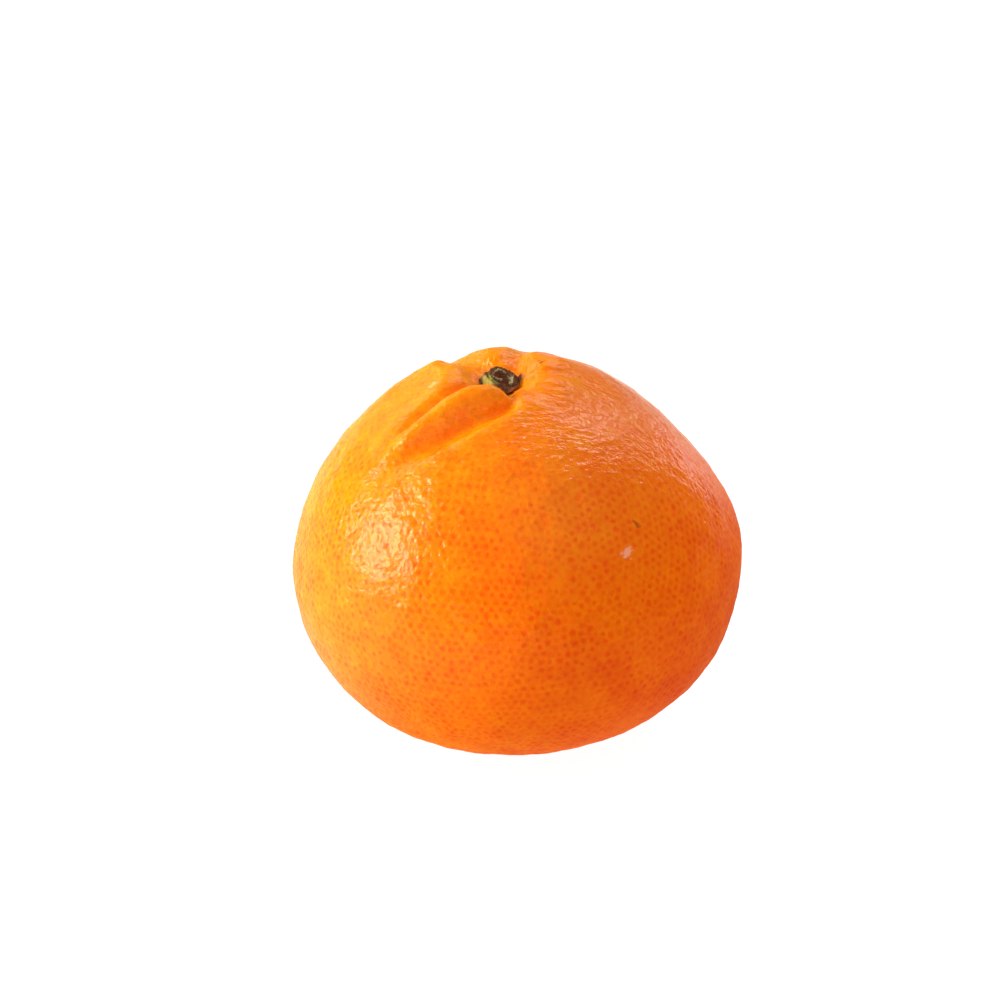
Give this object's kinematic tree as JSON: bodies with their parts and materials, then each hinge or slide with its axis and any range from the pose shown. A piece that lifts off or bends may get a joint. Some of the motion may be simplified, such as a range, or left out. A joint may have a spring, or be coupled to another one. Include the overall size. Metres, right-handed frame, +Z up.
{
  "type": "clementine",
  "caption": "Whole clementine, slightly squashed, with folds of peel gathered round the stem end, a small calyx and the broken stub of its stem.",
  "frame": {"origin": "middle of the small flat spot that the fruit rests on", "axes": "+Z up, -Y towards the front of the picture's view; the fruit's own axis leans a few degrees from +Z, forward and to the left"},
  "size_m": [0.0619, 0.0623, 0.0528],
  "materials": {
    "peel": "satin, slightly waxy, finely pitted with oil glands",
    "calyx_green": "dry, matt, yellow-green going brown",
    "stub_wood": "rough, torn, dark brown"
  },
  "bodies": {
    "root": {"fruit": "peel", "calyx": "calyx_green", "stem_stub": "stub_wood"}
  },
  "joints": []
}
